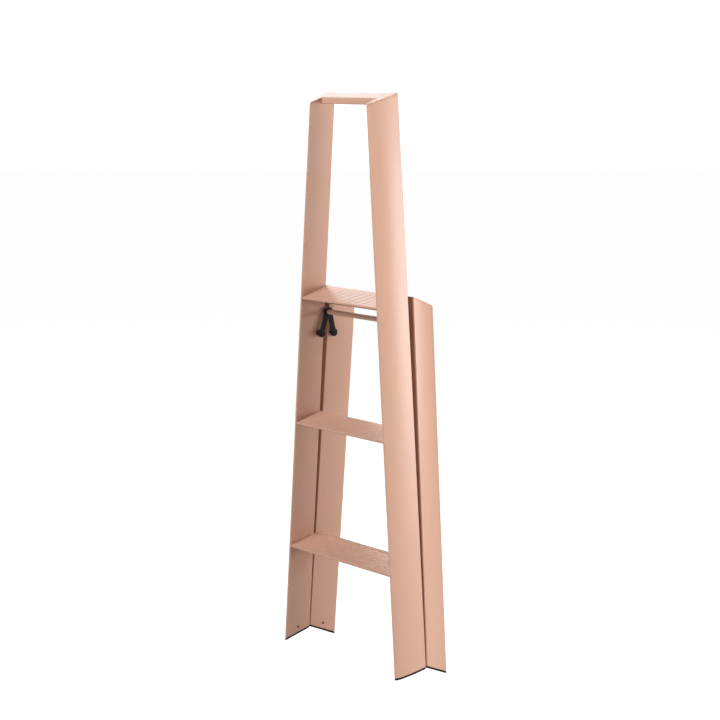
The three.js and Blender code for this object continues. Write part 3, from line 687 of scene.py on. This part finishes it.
for hand, sign in (("right", 1), ("left", -1)):
    sided = (lambda rings: rings) if sign > 0 else mirrored
    inwards = (-sign, 0, 0)
    axis_point = Vector((sign * inner_face(hinge.y), hinge.x, hinge.y))
    boss_reach = inner_face(hinge.y) - boss_face
    boss = turned(f"{hand}_boss", [(eye - 0.0003, 0.0018), (eye, 0.0022), (eye, boss_reach - 0.0006),
                                   (eye - 0.0006, boss_reach)], axis_point, inwards)
    stamped = joined(loft(f"{hand}_hinge_bracket_plate", sided(bracket_rings)), boss)
    place(soften(stamped, plate_edge), f"{hand}_hinge_bracket", "front_frame", dark_steel)
    for label, fall in (("upper", 0.008), ("lower", 0.017)):
        place_rivet(f"{hand}_bracket_rivet_{label}", f"{hand}_hinge_rivet_{label}", "front_frame", sign,
                    Vector((bracket_low.y + bracket_foot / 2, hinge.y - fall)), 2 * fit_gap + bracket_plate)
    reach = joined(loft(f"{hand}_leg_plate", sided(leg_plate_rings)), loft(f"{hand}_leg_pad", sided(pad_rings)))
    place(soften(reach, plate_edge), f"{hand}_leg_hinge_plate", "rear_frame", dark_steel)
    spot = Vector((pad_front + 0.020, (pad_low + hinge.y - 0.017) / 2))
    seat = inner_face(spot.y) - leg_plate_inner + fit_gap + 2 * narrowing * rivet_head
    place_rivet(f"{hand}_leg_plate_dome", f"{hand}_leg_plate_rivet", "rear_frame", sign, spot, seat,
                seat + 0.006)
    head, shank, full = (pin_high.z - pin_low.z) / 2, 0.004, pin_high.x - pin_low.x
    under_head = full - 0.0025
    pin = turned(f"{hand}_hinge_pivot", [(shank, 0), (shank, under_head), (head, under_head),
                                         (head, full - 0.0008), (head - 0.0008, full), (0.0001, full)],
                 Vector((sign * pin_high.x, hinge.x, hinge.y)), inwards)
    place(soften(pin, 0.0002), f"{hand}_hinge_pin", "front_frame", zinc)


# ---- Stay pivots ----
# Moulded black shoulder screws that the four links turn on, with a flange against the blade, a
# plain shank through the link and a head with a hexagon socket.

plastic = finish_of(
    "black moulded plastic", (0.009, 0.008, 0.008), (0.03, 0.028, 0.028),
    tone={"Scale": 50.0, "Amount": 0.4, "Middle": 1.0},
    wear={"Radius": 0.0005, "Patch_scale": 260.0, "Strength": 0.6},
    roughness={"Scale": 60.0, "Amount": 0.15, "Middle": 0.3},
    grain={"Scale": 1600.0, "Grain": 0.5, "Strength": 0.12, "Distance": 0.00003},
    Metallic=0.0, Specular_IOR_Level=0.22)

front_low, front_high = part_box("right_stay_front_pivot")
rear_low, rear_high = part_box("right_stay_rear_pivot")
rod_low, rod_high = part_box("release_rod")
front_link_low, front_link_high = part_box("right_stay_front_link")
rear_link_low, rear_link_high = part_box("right_stay_rear_link")
stile_pivot = Vector(((front_low.y + front_high.y) / 2, (front_low.z + front_high.z) / 2))
leg_pivot = Vector(((rear_low.y + rear_high.y) / 2, (rear_low.z + rear_high.z) / 2))
apex = Vector(((rod_low.y + rod_high.y) / 2, (rod_low.z + rod_high.z) / 2))
running_gap, pivot_shank, pivot_flange, pivot_head, pivot_rise = 0.0005, 0.004, 0.008, 0.0055, 0.002
socket_half, socket_depth = 0.0023, 0.0013
rear_link_inner, rear_link_outer = rear_link_low.x, rear_link_high.x
front_link_outer = front_link_high.x
front_link_inner = front_link_outer - 0.005


def stay_pivot(name, node_name, body, spot, outer, inner):
    """A shoulder screw on each side, through a link between two planes."""
    for hand, sign in (("right", 1), ("left", -1)):
        wall = inner_face(spot.y + pivot_flange) - fit_gap
        start = Vector((sign * wall, spot.x, spot.y))
        flange, head_seat = wall - outer - running_gap, wall - inner + running_gap
        crown = head_seat + pivot_rise
        profile = [(pivot_flange, 0), (pivot_flange, flange), (pivot_shank, flange), (pivot_shank, head_seat),
                   (pivot_head - 0.0002, head_seat), (pivot_head, head_seat + 0.0003),
                   (pivot_head, crown - 0.0007), (pivot_head - 0.0003, crown - 0.0002),
                   (pivot_head - 0.0008, crown), (0.0040, crown), (0.0038, crown - 0.0004),
                   (0.0034, crown - 0.0004), (0.0031, crown)]
        shell = turned(f"{hand}_{name}", profile, start, (-sign, 0, 0))
        bm = bmesh.new()
        bm.from_mesh(shell.data)
        bm.faces.ensure_lookup_table()
        lid = max((face for face in bm.faces if len(face.verts) > 4),
                  key=lambda face: -sign * face.calc_center_median().x)
        rim = list(lid.verts)
        bm.faces.remove(lid)
        hexagon = []
        for vertex in rim:
            a = math.atan2(vertex.co.z - spot.y, vertex.co.y - spot.x)
            within = (a % math.radians(60)) - math.radians(30)
            reach = socket_half / math.cos(within)
            hexagon.append((spot.x + reach * math.cos(a), spot.y + reach * math.sin(a)))
        mouth = [bm.verts.new((vertex.co.x, y, z)) for vertex, (y, z) in zip(rim, hexagon)]
        base = [bm.verts.new((vertex.co.x + sign * socket_depth, y, z))
                for vertex, (y, z) in zip(rim, hexagon)]
        walled(bm, rim, mouth)
        walled(bm, mouth, base)
        bm.faces.new(base)
        shaded(bm)
        bm.to_mesh(shell.data)
        bm.free()
        place(shell, f"{hand}_{node_name}", body, plastic)


stay_pivot("stile_shoulder_screw", "stay_front_pivot", "front_frame", stile_pivot,
           front_link_outer, front_link_inner)
stay_pivot("leg_shoulder_screw", "stay_rear_pivot", "rear_frame", leg_pivot,
           rear_link_outer, rear_link_inner)


# ---- Stay links ----
# Black moulded links, two to a stay. Each has an eye with a raised rim round its pivot and an arm
# with a hollow on each side of a middle rib. The front link carries the hub that holds the rod.

link_rounding, groove_depth, groove_inset, groove_half = 0.0007, 0.0007, 0.0022, 0.0008
arm_recess, hollow_depth = 0.0005, 0.0011


def link_face(foot, tip, foot_eye, tip_eye, arm):
    """A grid over a link's side, of places along and across it, and the length between its eyes."""
    length = (tip - foot).length
    steps, halves = 84, 12
    grid = []
    for i in range(steps + 1):
        s = -foot_eye + (length + foot_eye + tip_eye) * (1 - math.cos(math.pi * i / steps)) / 2
        at_foot = math.sqrt(max(foot_eye ** 2 - s ** 2, 0))
        at_tip = math.sqrt(max(tip_eye ** 2 - (s - length) ** 2, 0))
        waist = arm if 0 <= s <= length else 0
        half = max(at_foot, at_tip, waist, 0.00005)
        grid.append([(s, half * j / halves) for j in range(-halves, halves + 1)])
    return grid, length


def moulded_link(name, foot, tip, foot_eye, tip_eye, arm, outer, inner, sign):
    """A link between two planes, with rims, hollows and a rib on both of its sides."""
    grid, length = link_face(foot, tip, foot_eye, tip_eye, arm)
    lengthways = (tip - foot).normalized()
    crossways = Vector((-lengthways.y, lengthways.x))
    thickness = outer - inner
    mid = (outer + inner) / 2

    def relief(s, b, half):
        edge = half - abs(b)
        edge_foot = foot_eye - math.hypot(s, b)
        edge_tip = tip_eye - math.hypot(s - length, b)
        inside = max(edge if 0 < s < length and half <= arm * 1.001 else 0, edge_foot, edge_tip, 0)
        short = max(link_rounding - inside, 0)
        drop = link_rounding - math.sqrt(max(link_rounding ** 2 - short ** 2, 0))
        if edge_foot > 0 or edge_tip > 0:
            from_rim = edge_foot if edge_foot > 0 else edge_tip
            return drop + groove_depth * max(0, 1 - ((from_rim - groove_inset) / groove_half) ** 2)
        hollow = min(max((arm - 0.0014 - abs(b)) / 0.0007, 0), 1)
        rib = min(max((abs(b) - 0.0008) / 0.0006, 0), 1)
        ends = min(max((min(s - foot_eye, length - tip_eye - s)) / 0.0015, 0), 1)
        return drop + arm_recess + hollow_depth * hollow * rib * ends

    bm = bmesh.new()
    sheets = []
    for facing in (1, -1):
        sheet = []
        for row in grid:
            half = row[-1][1]
            line = []
            for s, b in row:
                depth = thickness / 2 - relief(s, b, half)
                side = foot + lengthways * s + crossways * b
                line.append(bm.verts.new((sign * (mid - facing * depth), side.x, side.y)))
            sheet.append(line)
        sheets.append(sheet)
    near, far = sheets
    rows, columns = len(grid), len(grid[0])
    for sheet in sheets:
        for i in range(rows - 1):
            for j in range(columns - 1):
                bm.faces.new((sheet[i][j], sheet[i + 1][j], sheet[i + 1][j + 1], sheet[i][j + 1]))
    border = ([(i, 0) for i in range(rows)] + [(rows - 1, j) for j in range(1, columns)]
              + [(i, columns - 1) for i in range(rows - 2, -1, -1)]
              + [(0, j) for j in range(columns - 2, 0, -1)])
    for (i, j), (k, m) in zip(border, border[1:] + border[:1]):
        bm.faces.new((near[i][j], near[k][m], far[k][m], far[i][j]))
    shaded(bm, math.radians(40))
    return piece_from(bm, name)


link_eye, link_arm, rear_tip_eye = 0.0105, 0.00675, 0.0085
front_splay, rear_splay = 0.004, 0.007  # how far the arms end beside the apex, so that both are seen
rod_radius = (rod_high.z - rod_low.z) / 2
hub_radius = front_link_high.z - apex.y
hub_length = front_link_outer - front_link_low.x
hub_profile = [
    (hub_radius - 0.0012, 0.0003), (hub_radius - 0.0003, 0.0009), (hub_radius, 0.0018),
    (hub_radius, hub_length - 0.0010), (hub_radius - 0.0003, hub_length - 0.0003),
    (hub_radius - 0.0009, hub_length), (hub_radius - 0.0020, hub_length),
    (hub_radius - 0.0026, hub_length - 0.0010), (rod_radius + 0.0024, hub_length - 0.0010),
    (rod_radius + 0.0018, hub_length), (rod_radius + 0.0008, hub_length),
    (rod_radius + 0.0003, hub_length - 0.0006), (rod_radius + 0.0003, hub_length - 0.0042)]
tip_length = rear_link_outer - rear_link_inner
tip_profile = [
    (rear_tip_eye - 0.0008, 0.0001), (rear_tip_eye, 0.0009), (rear_tip_eye, tip_length - 0.0009),
    (rear_tip_eye - 0.0008, tip_length - 0.0001)]
for hand, sign in (("right", 1), ("left", -1)):
    front_arm = moulded_link(f"{hand}_front_link_moulding", stile_pivot, apex - Vector((front_splay, 0)),
                             link_eye, link_arm, link_arm, front_link_outer, front_link_inner, sign)
    hub = turned(f"{hand}_hub", hub_profile, Vector((sign * front_link_outer, apex.x, apex.y)),
                 (-sign, 0, 0), 64)
    place(joined(front_arm, hub), f"{hand}_stay_front_link", "release_bar", plastic)
    rear_arm = moulded_link(f"{hand}_rear_link_moulding", leg_pivot, apex + Vector((rear_splay, 0)),
                            link_eye, link_arm, link_arm, rear_link_outer, rear_link_inner, sign)
    tip = turned(f"{hand}_tip", tip_profile, Vector((sign * rear_link_outer, apex.x, apex.y)),
                 (-sign, 0, 0), 64)
    place(joined(rear_arm, tip), f"{hand}_stay_rear_link", f"{hand}_rear_stay", plastic)


# ---- Release rod ----
# A thin aluminium tube across the ladder, coated like the frame and held in the hubs of both
# front links. Lifting it breaks both stays at once, so that the ladder folds.

rod_bore, rod_edge = rod_radius - 0.0015, 0.0003
rod = turned("rod_tube", [(rod_bore, rod_low.x), (rod_radius - rod_edge, rod_low.x),
                          (rod_radius, rod_low.x + rod_edge), (rod_radius, rod_high.x - rod_edge),
                          (rod_radius - rod_edge, rod_high.x), (rod_bore, rod_high.x)],
             Vector((0, apex.x, apex.y)), (1, 0, 0), 64)
place(rod, "release_rod", "release_bar", paint)


# ---- Floor, lights and camera ----
# A plain white studio floor in a white room, with soft boxes in front, overhead, to the right and
# behind, and a long lens a little above the middle of the ladder, at its right front corner.

floor_mesh = bpy.data.meshes.new("studio_floor")
bm = bmesh.new()
bmesh.ops.create_circle(bm, cap_ends=True, segments=96, radius=30)
bm.to_mesh(floor_mesh)
bm.free()
floor = bpy.data.objects.new("studio_floor", floor_mesh)
floor.location.z = -0.0002
bpy.context.scene.collection.objects.link(floor)
floor_finish = bpy.data.materials.new("studio floor")
floor_finish.use_nodes = True
floor_tree = floor_finish.node_tree
floor_shader = floor_tree.nodes["Principled BSDF"]
floor_shader.inputs["Base Color"].default_value = (0.35, 0.35, 0.35, 1)
floor_shader.inputs["Roughness"].default_value = 0.9
floor_shader.inputs["Specular IOR Level"].default_value = 0.0
floor_shader.inputs["Emission Color"].default_value = (1, 1, 1, 1)
floor_shader.inputs["Emission Strength"].default_value = 0.98
bounce = node(floor_tree, "ShaderNodeBsdfDiffuse", Color=(0.6, 0.59, 0.58, 1))
floor_path = node(floor_tree, "ShaderNodeLightPath")
floor_choice = node(floor_tree, "ShaderNodeMixShader")
floor_tree.links.new(floor_path.outputs["Is Camera Ray"], floor_choice.inputs["Fac"])
floor_tree.links.new(bounce.outputs[0], floor_choice.inputs[1])
floor_tree.links.new(floor_shader.outputs[0], floor_choice.inputs[2])
floor_tree.links.new(floor_choice.outputs[0], floor_tree.nodes["Material Output"].inputs["Surface"])
floor.data.materials.append(floor_finish)

world = bpy.data.worlds.new("white room")
bpy.context.scene.world = world
world.use_nodes = True
room = world.node_tree
background = room.nodes["Background"]
background.inputs["Color"].default_value = (1, 1, 1, 1)
background.inputs["Strength"].default_value = 0.02
backdrop = node(room, "ShaderNodeBackground", Color=(1, 1, 1, 1), Strength=1.2)
room_path = node(room, "ShaderNodeLightPath")
room_choice = node(room, "ShaderNodeMixShader")
room.links.new(room_path.outputs["Is Camera Ray"], room_choice.inputs["Fac"])
room.links.new(background.outputs[0], room_choice.inputs[1])
room.links.new(backdrop.outputs[0], room_choice.inputs[2])
room.links.new(room_choice.outputs[0], room.nodes["World Output"].inputs["Surface"])


lit_middle = Vector((0, 0, 0.8))


def soft_box(name, place_at, width, height, power):
    """A rectangular lamp that faces the middle of the ladder."""
    light = bpy.data.lights.new(name, "AREA")
    light.shape = "RECTANGLE"
    light.size, light.size_y = width, height
    light.energy = power
    lamp = bpy.data.objects.new(name, light)
    lamp.location = place_at
    lamp.rotation_euler = (lit_middle - Vector(place_at)).to_track_quat("-Z", "Y").to_euler()
    bpy.context.scene.collection.objects.link(lamp)


soft_box("front_box", (0.0, -3.4, 3.0), 1.4, 1.4, 102)
soft_box("left_front_box", (-1.7, -2.94, 3.0), 1.4, 1.4, 27)
soft_box("overhead_box", (0.0, 0.0, 3.8), 2.4, 2.4, 14)
soft_box("right_box", (3.15, 0.5, 1.2), 1.5, 1.2, 70)
soft_box("right_rear_box", (2.06, 2.45, 1.0), 0.9, 0.8, 26)
soft_box("left_rear_box", (-3.38, 1.23, 2.6), 2.2, 1.6, 34)

# Settings of the camera: from the right front corner, a little above
around, above, away = math.radians(57.83), math.radians(6.515), 6.3754
target = Vector((-0.00791, stile.start.x + 0.069, 0.74907))
lens = bpy.data.cameras.new("studio_camera")
lens.lens, lens.sensor_width = 128.32, 36
camera = bpy.data.objects.new("studio_camera", lens)
towards = Vector((math.sin(around) * math.cos(above), -math.cos(around) * math.cos(above), math.sin(above)))
camera.location = target + towards * away
camera.rotation_euler = (-towards).to_track_quat("-Z", "Y").to_euler()
bpy.context.scene.collection.objects.link(camera)
bpy.context.scene.camera = camera
bpy.context.scene.view_settings.view_transform = "Standard"
